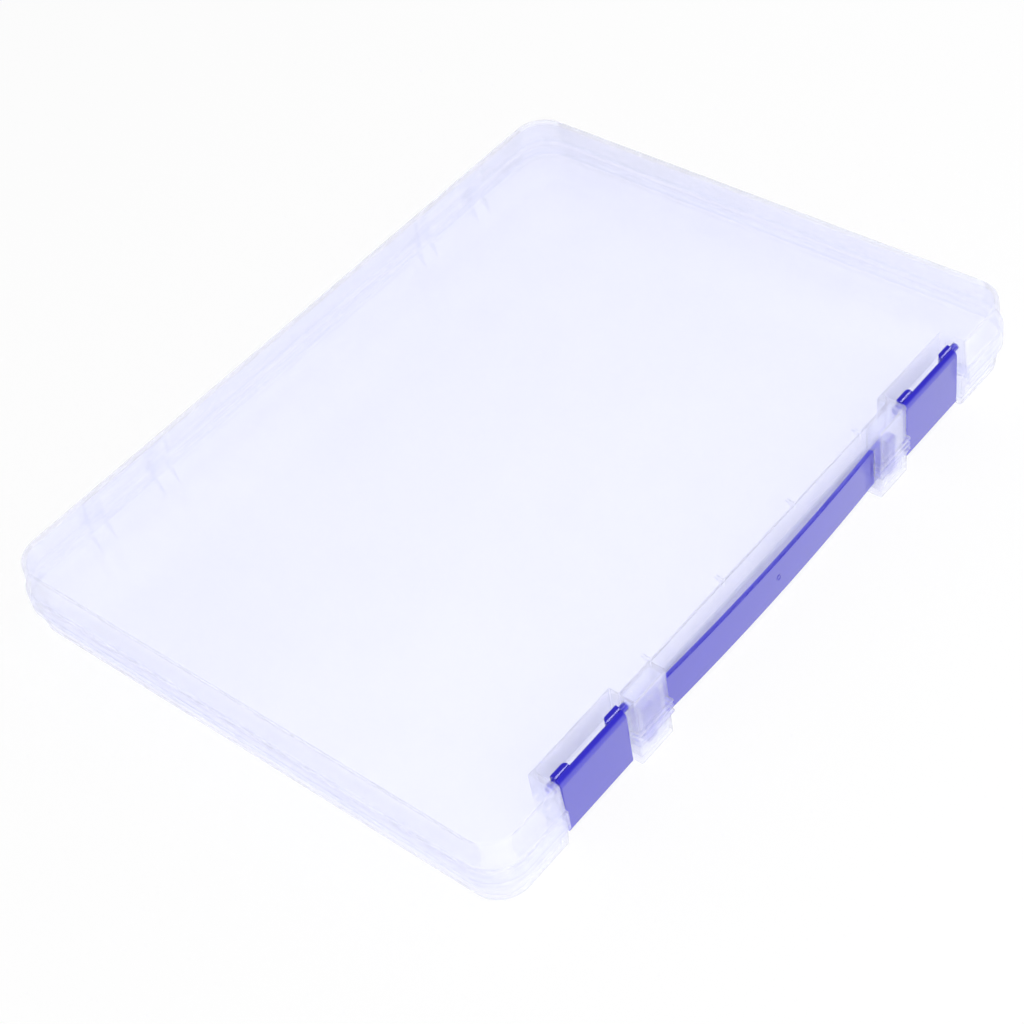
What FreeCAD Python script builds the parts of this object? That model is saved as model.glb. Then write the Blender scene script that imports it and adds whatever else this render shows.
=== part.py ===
import FreeCAD
import Part
import Sketcher
import os

# Flat carrying case for A4 paper: a translucent lid hinged to a shallower tray, two snap latches
# and a flexible strap handle at the front. Millimetres, +Z up, front towards -Y, and the origin at
# the centre of the underside.

SIZES = {
    # Shells
    "case_length": 312.0,  # lid top, left edge to right edge
    "case_width": 234.0,  # lid top, front edge to rear edge
    "case_height": 33.5,
    "corner_radius": 13.0,  # lid top, in plan
    "wall_thickness": 1.6,
    "floor_thickness": 1.6,
    "top_thickness": 1.6,
    "parting_height": 14.5,  # top of the tray's rim
    "parting_gap": 0.3,  # between the two rims
    "lid_flare": 0.9,  # outward draft of the lid wall where it meets the rim
    "tray_flare": 0.5,  # tray wall outside the lid's top outline, under the rim
    "tray_inset": 0.7,  # tray wall inside the lid's top outline, at the underside
    "rim_reach": 2.0,  # both rims outside the lid's top outline
    "lid_rim_height": 6.2,
    "tray_rim_height": 2.4,
    "lip_height": 4.0,  # tray lip that stands inside the lid
    "lip_thickness": 1.2,
    "lip_clearance": 0.3,
    "top_edge_radius": 1.2,
    "rim_edge_radius": 0.6,
    "bottom_edge_radius": 2.5,
    "seat_overlap": 0.2,  # how far an added wall is let into the one it stands on
    # Front recess, latch notches and handle bosses
    "corner_block_length": 33.5,  # from the end of the lid top to the first latch notch
    "recess_depth": 6.4,
    "notch_length": 40.0,
    "notch_depth": 10.5,
    "notch_edge_radius": 0.6,
    "boss_length": 17.5,
    "boss_wall": 1.4,
    "boss_parting": 9.9,  # lower edge of the lid's half
    "boss_drop": 0.4,  # boss top below the lid top
    "boss_edge_radius": 1.0,
    "ridge_bottom": 10.5,
    "ridge_pitch": 2.6,
    "ridge_height": 1.6,
    "ridge_reach": 0.8,
    "ridge_wrap": 3.2,  # length of a ridge round the side of its boss
    "ridge_edge_radius": 0.5,
    "gusset_thickness": 0.9,
    "gusset_length": 4.0,
    "gusset_inner_place": 21.5,  # from the middle of the case
    "gusset_boss_gap": 1.5,  # outer gussets, from the inner end of their boss
    # Latches
    "latch_side_gap": 2.5,  # between a latch and the ends of its notch
    "latch_thickness": 1.8,
    "latch_setback": 1.9,  # front face behind the case front
    "latch_bottom": 4.0,
    "latch_top": 31.0,
    "roll_radius": 4.3,  # outside of the rolled top
    "roll_land": 0.2,  # flat left behind the roll at the ears
    "roll_turn": 60.0,  # degrees that the roll turns between the ears
    "ear_length": 7.5,
    "ear_wall": 0.8,  # ear below its pin
    "pivot_height": 28.4,
    "pivot_setback": 2.9,  # behind the latch's front face
    "pin_radius": 1.5,
    "pin_clearance": 0.05,
    "pin_bite": 1.1,  # length of a pin inside its wall
    "catch_bottom": 8.4,
    "catch_height": 2.0,
    "catch_end_gap": 3.0,  # catch rib shorter than the latch at each end
    "catch_clearance": 0.5,  # catch rib to the latch plate
    "nib_height": 2.2,
    "nib_reach": 1.7,
    "nib_clearance": 0.25,  # nib under the catch rib
    "nib_edge_radius": 0.5,
    "latch_edge_radius": 0.4,
    # Strap handle
    "strap_engagement": 12.0,  # each strap end inside its boss
    "strap_thickness": 2.0,
    "strap_height": 17.2,
    "strap_bottom": 5.3,
    "strap_setback": 3.8,  # front face behind the case front
    "bead_height": 1.8,
    "bead_relief": 0.4,  # strap panel behind its beads
    "strap_edge_radius": 0.3,
    "lug_length": 5.0,
    "lug_thickness": 4.0,
    "slot_clearance": 0.3,
    # Rear hinges
    "hinge_end_distance": 59.5,  # middle of each hinge, from the end of the lid top
    "hinge_length": 43.0,
    "hinge_radius": 3.0,
    "hinge_clearance": 0.4,  # barrels to the rims
    "lug_width": 8.0,
    "knuckle_gap": 0.3,
    "pintle_radius": 1.5,
    "pintle_clearance": 0.05,
    "pintle_end_gap": 0.6,
    "apron_top": 31.0,
    "apron_slope": 4.5,  # height of the slope at the apron's top
    "knuckle_web_height": 9.5,  # web above the hinge axis
    "lug_web_height": 11.5,  # web below the hinge axis
}

RIDGE_COUNT = 3
ROUNDING = 1e-4

doc = FreeCAD.newDocument("carrying_case")
sheet = doc.addObject("Spreadsheet::Sheet", "sizes")
for row, (alias, value) in enumerate(SIZES.items(), 1):
    sheet.set(f"A{row}", alias)
    sheet.set(f"B{row}", str(value))
    sheet.setAlias(f"B{row}", alias)
doc.recompute()


def minus(text):
    """The formula with its sign turned."""
    return f"-({text})"


def number(text):
    """The formula's value with the sizes as they are in the sheet."""
    return float(sheet.evalExpression(text))


def size(alias):
    """Formula that reads one size from the sheet."""
    return f"sizes.{alias}"


def formula(text):
    """Turns size names in a text into references to the sheet."""
    words = text.replace("(", " ( ").replace(")", " ) ").split()
    return " ".join(size(word) if word in SIZES else word for word in words)


# Places that several pieces share
HALF_LENGTH = formula("case_length / 2")
HALF_WIDTH = formula("case_width / 2")
LID_BOTTOM = formula("parting_height + parting_gap")
LID_RIM_TOP = f"{LID_BOTTOM} + {size('lid_rim_height')}"
TRAY_RIM_BOTTOM = formula("parting_height - tray_rim_height")
LIP_TOP = formula("parting_height + lip_height")
CAVITY_TOP = formula("case_height - top_thickness")
RECESS_FACE = f"{size('recess_depth')} - {HALF_WIDTH}"
RECESS_BACK = f"{RECESS_FACE} + {size('wall_thickness')}"
RECESS_END = formula("( case_length / 2 - corner_block_length )")
RECESS_WALL_END = f"{RECESS_END} + {size('wall_thickness')}"
NOTCH_START = f"({RECESS_END} - {size('notch_length')})"
NOTCH_FACE = f"{size('notch_depth')} - {HALF_WIDTH}"
NOTCH_BACK = f"{NOTCH_FACE} + {size('wall_thickness')}"
CASE_FRONT = minus(HALF_WIDTH)
WELL_FRONT = f"{CASE_FRONT} - {size('recess_depth')}"
BOSS_START = f"({NOTCH_START} - {size('boss_length')})"
BOSS_INSIDE_START = f"{BOSS_START} + {size('boss_wall')}"
BOSS_INSIDE_END = f"{NOTCH_START} - {size('boss_wall')}"
BOSS_INSIDE_FRONT = f"{CASE_FRONT} + {size('boss_wall')}"
LATCH_PLACE = f"({NOTCH_START} + {RECESS_END}) / 2"
LATCH_LENGTH = formula("( notch_length - 2 * latch_side_gap )")
CATCH_HALF_LENGTH = f"({LATCH_LENGTH} / 2 - {size('catch_end_gap')})"
LATCH_FRONT = f"{CASE_FRONT} + {size('latch_setback')}"
LATCH_BACK = f"{LATCH_FRONT} + {size('latch_thickness')}"
PIVOT_Y = f"{LATCH_FRONT} + {size('pivot_setback')}"
STRAP_FRONT = f"{CASE_FRONT} + {size('strap_setback')}"
STRAP_BACK = f"{STRAP_FRONT} + {size('strap_thickness')}"
STRAP_END = f"{BOSS_START} + {size('strap_engagement')}"
STRAP_TOP = formula("strap_bottom + strap_height")
HINGE_PLACE = formula("case_length / 2 - hinge_end_distance")
HINGE_Y = f"{HALF_WIDTH} + {formula('rim_reach + hinge_clearance + hinge_radius')}"
HINGE_Z = f"{size('parting_height')} + {size('parting_gap')} / 2"
KNUCKLE_LENGTH = formula("hinge_length - 2 * ( lug_width + knuckle_gap )")
LUG_PLACE = formula("( hinge_length - lug_width ) / 2")
HINGE_WEB_RISE = f"{size('hinge_radius')} * sqrt(0.5)"
HINGE_WEB_OUT = f"{HINGE_Y} + {HINGE_WEB_RISE}"
LIP_GROWTH = formula("( rim_reach - wall_thickness - lip_clearance )")


def new_body(label):
    """Empty body for one piece of the case."""
    body = doc.addObject("PartDesign::Body", label)
    body.Label = label
    return body


def new_sketch(body, name, plane, offset):
    """Sketch on one of the body's own planes, moved along that plane's normal by a formula."""
    sketch = body.newObject("Sketcher::SketchObject", name)
    planes = {feature.Role: feature for feature in body.Origin.OriginFeatures}
    sketch.AttachmentSupport = [(planes[plane], "")]
    sketch.MapMode = "FlatFace"
    sketch.setExpression("AttachmentOffset.Base.z", offset)
    return sketch


def bind(sketch, kind, place, value):
    """Adds a dimension to the sketch and ties it to a formula."""
    index = sketch.addConstraint(Sketcher.Constraint(kind, *place, number(value)))
    sketch.setExpression(f"Constraints[{index}]", value)


def draw_polygon(sketch, corners):
    """Closed outline through corners, each a pair of formulas in the sketch's own plane."""
    points = [FreeCAD.Vector(number(across), number(up), 0) for across, up in corners]
    first = sketch.GeometryCount
    count = len(corners)
    for step, point in enumerate(points):
        sketch.addGeometry(Part.LineSegment(point, points[(step + 1) % count]), False)
    for step in range(count):
        after = first + (step + 1) % count
        sketch.addConstraint(Sketcher.Constraint("Coincident", first + step, 2, after, 1))
    for step, (across, up) in enumerate(corners):
        bind(sketch, "DistanceX", (-1, 1, first + step, 1), across)
        bind(sketch, "DistanceY", (-1, 1, first + step, 1), up)


def draw_rectangle(sketch, left, right, low, high):
    """Rectangle between four formulas."""
    draw_polygon(sketch, [(left, low), (right, low), (right, high), (left, high)])


def draw_pair(sketch, inner, outer, low, high):
    """Two rectangles that mirror each other across the middle of the case."""
    draw_rectangle(sketch, inner, outer, low, high)
    draw_rectangle(sketch, minus(outer), minus(inner), low, high)


def draw_circle(sketch, across, up, radius):
    """Circle whose centre and radius are formulas."""
    centre = FreeCAD.Vector(number(across), number(up), 0)
    index = sketch.addGeometry(Part.Circle(centre, FreeCAD.Vector(0, 0, 1), number(radius)), False)
    bind(sketch, "DistanceX", (-1, 1, index, 3), across)
    bind(sketch, "DistanceY", (-1, 1, index, 3), up)
    bind(sketch, "Radius", (index,), radius)


def draw_outline(sketch, growth):
    """Rounded outline of the case in plan, grown all round by a formula."""
    half_x = f"{HALF_LENGTH} + {growth}"
    half_y = f"{HALF_WIDTH} + {growth}"
    radius = f"{size('corner_radius')} + {growth}"
    x, y, r = number(half_x), number(half_y), number(radius)
    sides = [
        ((r - x, -y), (x - r, -y)),
        ((x, r - y), (x, y - r)),
        ((x - r, y), (r - x, y)),
        ((-x, y - r), (-x, r - y)),
    ]
    for start, end in sides:
        line = Part.LineSegment(FreeCAD.Vector(*start, 0), FreeCAD.Vector(*end, 0))
        sketch.addGeometry(line, False)
    for corner, (across, up) in enumerate([(1, -1), (1, 1), (-1, 1), (-1, -1)]):
        centre = FreeCAD.Vector(across * (x - r), up * (y - r), 0)
        circle = Part.Circle(centre, FreeCAD.Vector(0, 0, 1), r)
        start = FreeCAD.Units.Quantity(f"{90 * (corner - 1)} deg").getValueAs("rad").Value
        turn = FreeCAD.Units.Quantity("90 deg").getValueAs("rad").Value
        sketch.addGeometry(Part.ArcOfCircle(circle, start, start + turn), False)
    for corner in range(4):
        arc = 4 + corner
        sketch.addConstraint(Sketcher.Constraint("Tangent", corner, 2, arc, 1))
        sketch.addConstraint(Sketcher.Constraint("Tangent", arc, 2, (corner + 1) % 4, 1))
    for corner in range(3):
        sketch.addConstraint(Sketcher.Constraint("Equal", 4 + corner, 5 + corner))
    for side in (0, 2):
        sketch.addConstraint(Sketcher.Constraint("Horizontal", side))
        sketch.addConstraint(Sketcher.Constraint("Vertical", side + 1))
    bind(sketch, "Radius", (4,), radius)
    bind(sketch, "DistanceY", (-1, 1, 0, 1), minus(half_y))
    bind(sketch, "DistanceX", (-1, 1, 1, 1), half_x)
    bind(sketch, "DistanceY", (-1, 1, 2, 1), half_y)
    bind(sketch, "DistanceX", (-1, 1, 3, 1), minus(half_x))


def checked(body, feature, sign):
    """Recomputes a new feature and makes sure that it adds (1) or takes away (-1) material."""
    doc.recompute()
    before = feature.BaseFeature.Shape.Volume if feature.BaseFeature else 0.0
    change = body.Shape.Volume - before
    if "Invalid" in feature.State or "Error" in feature.State or change * sign <= 0:
        raise RuntimeError(f"{body.Label}: {feature.Label} did not do its work ({change:.3f})")
    return feature


def pad(body, sketch, length, centred=False):
    """Adds the sketch's outline over a length, along its normal or to both sides of it."""
    feature = body.newObject("PartDesign::Pad", f"{sketch.Label}_pad")
    feature.Profile = sketch
    feature.setExpression("Length", length)
    feature.Midplane = centred
    return checked(body, feature, 1)


def pocket(body, sketch, length, centred=False):
    """Cuts the sketch's outline over a length along its normal, or to both sides of it."""
    feature = body.newObject("PartDesign::Pocket", f"{sketch.Label}_pocket")
    feature.Profile = sketch
    feature.setExpression("Length", length)
    feature.Midplane = centred
    feature.Reversed = not centred
    return checked(body, feature, -1)


def loft(body, kind, low, high):
    """Adds or cuts the tapered form between two sketches."""
    feature = body.newObject(f"PartDesign::{kind}Loft", f"{low.Label}_loft")
    feature.Profile = low
    feature.Sections = [high]
    feature.Ruled = True
    return checked(body, feature, 1 if kind == "Additive" else -1)


def mirror(body, features):
    """Repeats features on the other side of the middle of the case."""
    feature = body.newObject("PartDesign::Mirrored", f"{features[0].Label}_mirror")
    planes = {origin.Role: origin for origin in body.Origin.OriginFeatures}
    feature.Originals = features
    feature.MirrorPlane = (planes["YZ_Plane"], [""])
    body.Tip = feature
    doc.recompute()
    return feature


def near(first, second):
    """Whether two lengths are the same, apart from rounding."""
    return abs(first - second) < ROUNDING


def soften(body, name, radius, wanted):
    """Rounds every edge of the body whose bounding box passes the test."""
    base = body.Tip
    edges = [f"Edge{place}" for place, edge in enumerate(base.Shape.Edges, 1) if wanted(edge.BoundBox)]
    feature = body.newObject("PartDesign::Fillet", name)
    feature.Base = (base, edges)
    feature.setExpression("Radius", radius)
    doc.recompute()
    if not edges or "Invalid" in feature.State or "Error" in feature.State:
        raise RuntimeError(f"{body.Label}: {name} failed on {len(edges)} edges")
    return feature


def along(across, up):
    """Test for the edges that run along the case at one place in the YZ plane."""
    return lambda box: (
        near(box.YMin, number(across)) and near(box.YMax, number(across))
        and near(box.ZMin, number(up)) and near(box.ZMax, number(up))
    )


def on_boss_front(box):
    """Whether an edge bounds the front face of a boss."""
    inner, outer = number(BOSS_START), number(NOTCH_START)
    front = number(CASE_FRONT)
    beside = all(inner - ROUNDING < abs(x) < outer + ROUNDING for x in (box.XMin, box.XMax))
    return near(box.YMin, front) and near(box.YMax, front) and beside


def on_rim_edge(box):
    """Whether an edge is on the upper outer edge of the lid's rim."""
    half_x = number(f"{HALF_LENGTH} + {size('rim_reach')}")
    half_y = number(f"{HALF_WIDTH} + {size('rim_reach')}")
    outside = near(box.XMax, half_x) or near(-box.XMin, half_x)
    outside = outside or near(box.YMax, half_y) or near(-box.YMin, half_y)
    return outside and near(box.ZMin, number(LID_RIM_TOP))


def on_notch_edge(box):
    """Whether an edge is where the lid's top meets the recess or a notch, along the case."""
    level = near(box.ZMin, number(size("case_height")))
    straight = near(box.YMin, box.YMax)
    behind = near(box.YMin, number(RECESS_FACE)) or near(box.YMin, number(NOTCH_FACE))
    return level and straight and behind


def on_ridge_edge(box):
    """Whether an edge is on the outer face of a grip ridge, along the case."""
    face = number(f"{CASE_FRONT} - {size('ridge_reach')}")
    return near(box.YMin, face) and near(box.YMax, face) and near(box.ZMin, box.ZMax)


def repeat_upward(body, original, pitch, count):
    """Repeats a feature upward at an even pitch."""
    feature = body.newObject("PartDesign::LinearPattern", f"{original.Label}_row")
    axes = {origin.Role: origin for origin in body.Origin.OriginFeatures}
    feature.Originals = [original]
    feature.Direction = (axes["Z_Axis"], [""])
    feature.Occurrences = count
    feature.setExpression("Length", f"{pitch} * {count - 1}")
    body.Tip = feature
    doc.recompute()
    return feature


def draw_strap_slot(sketch):
    """Slots through the inner side walls of both bosses, for the strap to pass."""
    overlap = size("seat_overlap")
    draw_pair(sketch, f"{BOSS_START} - {overlap}", f"{BOSS_INSIDE_START} + {overlap}",
              f"{STRAP_FRONT} - {size('slot_clearance')}", RECESS_FACE)


def make_tray():
    """Lower shell: floor, walls, rim, lip, catch ribs, boss cups and hinge lugs."""
    body = new_body("base_tray")
    underside = new_sketch(body, "underside_outline", "XY_Plane", "0")
    draw_outline(underside, minus(size("tray_inset")))
    under_rim = new_sketch(body, "under_rim_outline", "XY_Plane", TRAY_RIM_BOTTOM)
    draw_outline(under_rim, size("tray_flare"))
    loft(body, "Additive", underside, under_rim)
    soften(body, "bottom_edge", size("bottom_edge_radius"), lambda box: near(box.ZMax, 0))

    rim = new_sketch(body, "tray_rim", "XY_Plane", TRAY_RIM_BOTTOM)
    draw_outline(rim, size("rim_reach"))
    pad(body, rim, size("tray_rim_height"))
    lip = new_sketch(body, "lip", "XY_Plane", size("parting_height"))
    draw_outline(lip, LIP_GROWTH)
    pad(body, lip, size("lip_height"))
    floor = new_sketch(body, "floor_outline", "XY_Plane", size("floor_thickness"))
    draw_outline(floor, minus(formula("tray_inset + wall_thickness")))
    mouth = new_sketch(body, "mouth_outline", "XY_Plane", LIP_TOP)
    draw_outline(mouth, f"{LIP_GROWTH} - {size('lip_thickness')}")
    loft(body, "Subtractive", floor, mouth)

    front_wall = new_sketch(body, "front_wall", "XY_Plane", formula("floor_thickness - seat_overlap"))
    wall_seat = f"{CASE_FRONT} + {formula('tray_inset + wall_thickness - seat_overlap')}"
    draw_rectangle(front_wall, minus(RECESS_WALL_END), RECESS_WALL_END, wall_seat, RECESS_BACK)
    pad(body, front_wall, formula("parting_height - floor_thickness + seat_overlap"))
    front_lip = new_sketch(body, "front_lip", "XY_Plane", size("parting_height"))
    lip_end = f"{RECESS_WALL_END} + {formula('lip_clearance + lip_thickness')}"
    lip_seat = f"{CASE_FRONT} - {LIP_GROWTH} + {formula('lip_thickness - seat_overlap')}"
    lip_back = f"{RECESS_BACK} + {formula('lip_clearance + lip_thickness')}"
    draw_rectangle(front_lip, minus(lip_end), lip_end, lip_seat, lip_back)
    pad(body, front_lip, size("lip_height"))
    lip_cut = new_sketch(body, "lip_cut", "XY_Plane", size("parting_height"))
    cut_end = f"{RECESS_WALL_END} + {size('lip_clearance')}"
    cut_back = f"{RECESS_BACK} + {size('lip_clearance')}"
    draw_rectangle(lip_cut, minus(cut_end), cut_end, WELL_FRONT, cut_back)
    pocket(body, lip_cut, size("lip_height"))
    recess = new_sketch(body, "tray_recess", "XY_Plane", "0")
    draw_rectangle(recess, minus(RECESS_END), RECESS_END, WELL_FRONT, RECESS_FACE)
    pocket(body, recess, size("parting_height"))

    boss_top = formula("boss_parting - parting_gap")
    boss = new_sketch(body, "tray_boss", "XY_Plane", "0")
    draw_pair(boss, BOSS_START, NOTCH_START, CASE_FRONT, f"{RECESS_FACE} + {size('seat_overlap')}")
    pad(body, boss, boss_top)
    soften(body, "tray_boss_edges", size("boss_edge_radius"),
           lambda box: on_boss_front(box) and box.ZMin < number(boss_top) / 2)
    cup = new_sketch(body, "tray_boss_cup", "XY_Plane", size("floor_thickness"))
    draw_pair(cup, BOSS_INSIDE_START, BOSS_INSIDE_END, BOSS_INSIDE_FRONT, RECESS_FACE)
    pocket(body, cup, f"{boss_top} - {size('floor_thickness')}")
    slot_bottom = formula("strap_bottom - slot_clearance")
    slot = new_sketch(body, "tray_strap_slot", "XY_Plane", slot_bottom)
    draw_strap_slot(slot)
    pocket(body, slot, f"{boss_top} - ( {slot_bottom} )")

    catch = new_sketch(body, "catch_rib", "XY_Plane", size("catch_bottom"))
    draw_pair(catch, f"{LATCH_PLACE} - {CATCH_HALF_LENGTH}", f"{LATCH_PLACE} + {CATCH_HALF_LENGTH}",
              f"{LATCH_BACK} + {size('catch_clearance')}", f"{RECESS_FACE} + {size('seat_overlap')}")
    pad(body, catch, size("catch_height"))

    features = []
    for place, name in ((minus(LUG_PLACE), "inner_lug"), (LUG_PLACE, "outer_lug")):
        lug_place = f"{HINGE_PLACE} + {place}"
        web = new_sketch(body, f"{name}_web", "YZ_Plane", lug_place)
        draw_polygon(web, [
            (HALF_WIDTH + f" - {size('tray_inset')}", size("parting_height")),
            (HALF_WIDTH + f" - {size('tray_inset')}", f"{HINGE_Z} - {size('lug_web_height')}"),
            (HINGE_WEB_OUT, f"{HINGE_Z} - {HINGE_WEB_RISE}"),
            (HINGE_Y, size("parting_height")),
        ])
        features.append(pad(body, web, size("lug_width"), centred=True))
        barrel = new_sketch(body, f"{name}_barrel", "YZ_Plane", lug_place)
        draw_circle(barrel, HINGE_Y, HINGE_Z, size("hinge_radius"))
        features.append(pad(body, barrel, size("lug_width"), centred=True))
    hole = new_sketch(body, "pintle_hole", "YZ_Plane", HINGE_PLACE)
    draw_circle(hole, HINGE_Y, HINGE_Z, formula("pintle_radius + pintle_clearance"))
    features.append(pocket(body, hole, formula("hinge_length + lug_width"), centred=True))
    mirror(body, features)
    return body


def make_lid():
    """Upper shell: top, walls, rim, latch notches, boss cups with ridges, and hinge knuckles."""
    body = new_body("lid_shell")
    shoulder = new_sketch(body, "shoulder_outline", "XY_Plane", LID_RIM_TOP)
    draw_outline(shoulder, size("lid_flare"))
    top = new_sketch(body, "top_outline", "XY_Plane", size("case_height"))
    draw_outline(top, "0")
    loft(body, "Additive", shoulder, top)
    soften(body, "top_edge", size("top_edge_radius"),
           lambda box: near(box.ZMin, number(size("case_height"))))

    rim = new_sketch(body, "lid_rim", "XY_Plane", LID_BOTTOM)
    draw_outline(rim, size("rim_reach"))
    pad(body, rim, size("lid_rim_height"))
    soften(body, "rim_edge", size("rim_edge_radius"), on_rim_edge)
    ceiling = f"{LID_RIM_TOP} - {size('wall_thickness')}"
    cavity = new_sketch(body, "cavity_outline", "XY_Plane", ceiling)
    draw_outline(cavity, formula("lid_flare - wall_thickness"))
    cavity_top = new_sketch(body, "cavity_top_outline", "XY_Plane", CAVITY_TOP)
    draw_outline(cavity_top, minus(size("wall_thickness")))
    loft(body, "Subtractive", cavity, cavity_top)
    skirt = new_sketch(body, "skirt_inside", "XY_Plane", LID_BOTTOM)
    draw_outline(skirt, formula("rim_reach - wall_thickness"))
    pocket(body, skirt, formula("lid_rim_height - wall_thickness"))

    skirt_wall = new_sketch(body, "skirt_front_wall", "XY_Plane", LID_BOTTOM)
    skirt_seat = f"{CASE_FRONT} - {formula('( rim_reach - wall_thickness + seat_overlap )')}"
    draw_rectangle(skirt_wall, minus(RECESS_WALL_END), RECESS_WALL_END, skirt_seat, RECESS_BACK)
    pad(body, skirt_wall, formula("lid_rim_height - wall_thickness + seat_overlap"))
    front_wall = new_sketch(body, "lid_front_wall", "XY_Plane", ceiling)
    wall_seat = f"{CASE_FRONT} - {formula('( lid_flare - wall_thickness + seat_overlap )')}"
    draw_rectangle(front_wall, minus(RECESS_WALL_END), RECESS_WALL_END, wall_seat, RECESS_BACK)
    pad(body, front_wall, f"{CAVITY_TOP} + {size('seat_overlap')} - ( {ceiling} )")
    notch_walls = new_sketch(body, "notch_walls", "XY_Plane", ceiling)
    draw_pair(notch_walls, f"{NOTCH_START} - {size('wall_thickness')}", RECESS_WALL_END,
              RECESS_FACE, NOTCH_BACK)
    pad(body, notch_walls, f"{CAVITY_TOP} + {size('seat_overlap')} - ( {ceiling} )")
    recess = new_sketch(body, "lid_recess", "XY_Plane", LID_BOTTOM)
    draw_rectangle(recess, minus(RECESS_END), RECESS_END, WELL_FRONT, RECESS_FACE)
    pocket(body, recess, f"{size('case_height')} - ( {LID_BOTTOM} )")
    notch = new_sketch(body, "latch_notch", "XY_Plane", LID_RIM_TOP)
    draw_pair(notch, NOTCH_START, RECESS_END, WELL_FRONT, NOTCH_FACE)
    pocket(body, notch, f"{size('case_height')} - ( {LID_RIM_TOP} )")
    soften(body, "notch_edge", size("notch_edge_radius"), on_notch_edge)

    boss_top = formula("case_height - boss_drop")
    boss_rear = f"{RECESS_FACE} - {size('parting_gap')}"
    boss_root = new_sketch(body, "lid_boss_root", "XY_Plane", LID_BOTTOM)
    draw_pair(boss_root, BOSS_START, NOTCH_START, f"{boss_rear} - {size('seat_overlap')}",
              f"{RECESS_FACE} + {size('seat_overlap')}")
    pad(body, boss_root, f"{boss_top} - ( {LID_BOTTOM} )")
    boss = new_sketch(body, "lid_boss", "XY_Plane", size("boss_parting"))
    draw_pair(boss, BOSS_START, NOTCH_START, CASE_FRONT, boss_rear)
    pad(body, boss, f"{boss_top} - {size('boss_parting')}")
    soften(body, "lid_boss_edges", size("boss_edge_radius"),
           lambda box: on_boss_front(box) and box.ZMax > number(size("parting_height")))
    ridge = new_sketch(body, "grip_ridge", "XY_Plane", size("ridge_bottom"))
    draw_pair(ridge, f"{BOSS_START} - {size('ridge_reach')}", f"{NOTCH_START} + {size('ridge_reach')}",
              f"{CASE_FRONT} - {size('ridge_reach')}", f"{CASE_FRONT} + {size('ridge_wrap')}")
    first_ridge = pad(body, ridge, size("ridge_height"))
    repeat_upward(body, first_ridge, size("ridge_pitch"), RIDGE_COUNT)
    soften(body, "ridge_edges", size("ridge_edge_radius"), on_ridge_edge)
    cup = new_sketch(body, "lid_boss_cup", "XY_Plane", size("boss_parting"))
    draw_pair(cup, BOSS_INSIDE_START, BOSS_INSIDE_END, BOSS_INSIDE_FRONT, RECESS_FACE)
    pocket(body, cup, f"{boss_top} - {formula('( boss_wall + boss_parting )')}")
    slot = new_sketch(body, "lid_strap_slot", "XY_Plane", size("boss_parting"))
    draw_strap_slot(slot)
    pocket(body, slot, f"{STRAP_TOP} + {formula('slot_clearance - boss_parting')}")

    gussets = []
    outer_place = f"{BOSS_START} - {size('gusset_boss_gap')}"
    for name, place in (("inner_gusset", size("gusset_inner_place")), ("outer_gusset", outer_place)):
        gusset = new_sketch(body, name, "YZ_Plane", place)
        root = f"{RECESS_BACK} - {size('seat_overlap')}"
        roof = f"{CAVITY_TOP} + {size('seat_overlap')}"
        draw_polygon(gusset, [
            (root, roof),
            (root, f"{CAVITY_TOP} - {size('gusset_length')}"),
            (f"{RECESS_BACK} + {size('gusset_length')}", roof),
        ])
        gussets.append(pad(body, gusset, size("gusset_thickness"), centred=True))
    mirror(body, gussets)

    rim_face = f"{HALF_WIDTH} + {size('rim_reach')}"
    apron = new_sketch(body, "hinge_apron", "YZ_Plane", HINGE_PLACE)
    apron_foot = f"{LID_RIM_TOP} - {size('rim_edge_radius')} - {size('seat_overlap')}"
    draw_polygon(apron, [
        (HALF_WIDTH, apron_foot),
        (rim_face, apron_foot),
        (rim_face, formula("apron_top - apron_slope")),
        (HALF_WIDTH, size("apron_top")),
    ])
    features = [pad(body, apron, size("hinge_length"), centred=True)]
    web = new_sketch(body, "knuckle_web", "YZ_Plane", HINGE_PLACE)
    draw_polygon(web, [
        (f"{rim_face} - {size('seat_overlap')}", LID_BOTTOM),
        (HINGE_Y, LID_BOTTOM),
        (HINGE_WEB_OUT, f"{HINGE_Z} + {HINGE_WEB_RISE}"),
        (f"{rim_face} - {size('seat_overlap')}", f"{HINGE_Z} + {size('knuckle_web_height')}"),
    ])
    features.append(pad(body, web, KNUCKLE_LENGTH, centred=True))
    barrel = new_sketch(body, "knuckle_barrel", "YZ_Plane", HINGE_PLACE)
    draw_circle(barrel, HINGE_Y, HINGE_Z, size("hinge_radius"))
    features.append(pad(body, barrel, KNUCKLE_LENGTH, centred=True))
    pintle = new_sketch(body, "pintle", "YZ_Plane", HINGE_PLACE)
    draw_circle(pintle, HINGE_Y, HINGE_Z, size("pintle_radius"))
    features.append(pad(body, pintle, formula("hinge_length - 2 * pintle_end_gap"), centred=True))
    pin_hole = new_sketch(body, "latch_pin_hole", "YZ_Plane", LATCH_PLACE)
    draw_circle(pin_hole, PIVOT_Y, size("pivot_height"), formula("pin_radius + pin_clearance"))
    pin_span = formula("notch_length + 2 * wall_thickness")
    features.append(pocket(body, pin_hole, pin_span, centred=True))
    mirror(body, features)
    return body


def roll_point(across, up, radius, turn):
    """Point on a circle in the YZ plane, turned upward from the circle's front by degrees."""
    return f"{across} - {radius} * cos({turn} * 1 deg)", f"{up} + {radius} * sin({turn} * 1 deg)"


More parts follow.
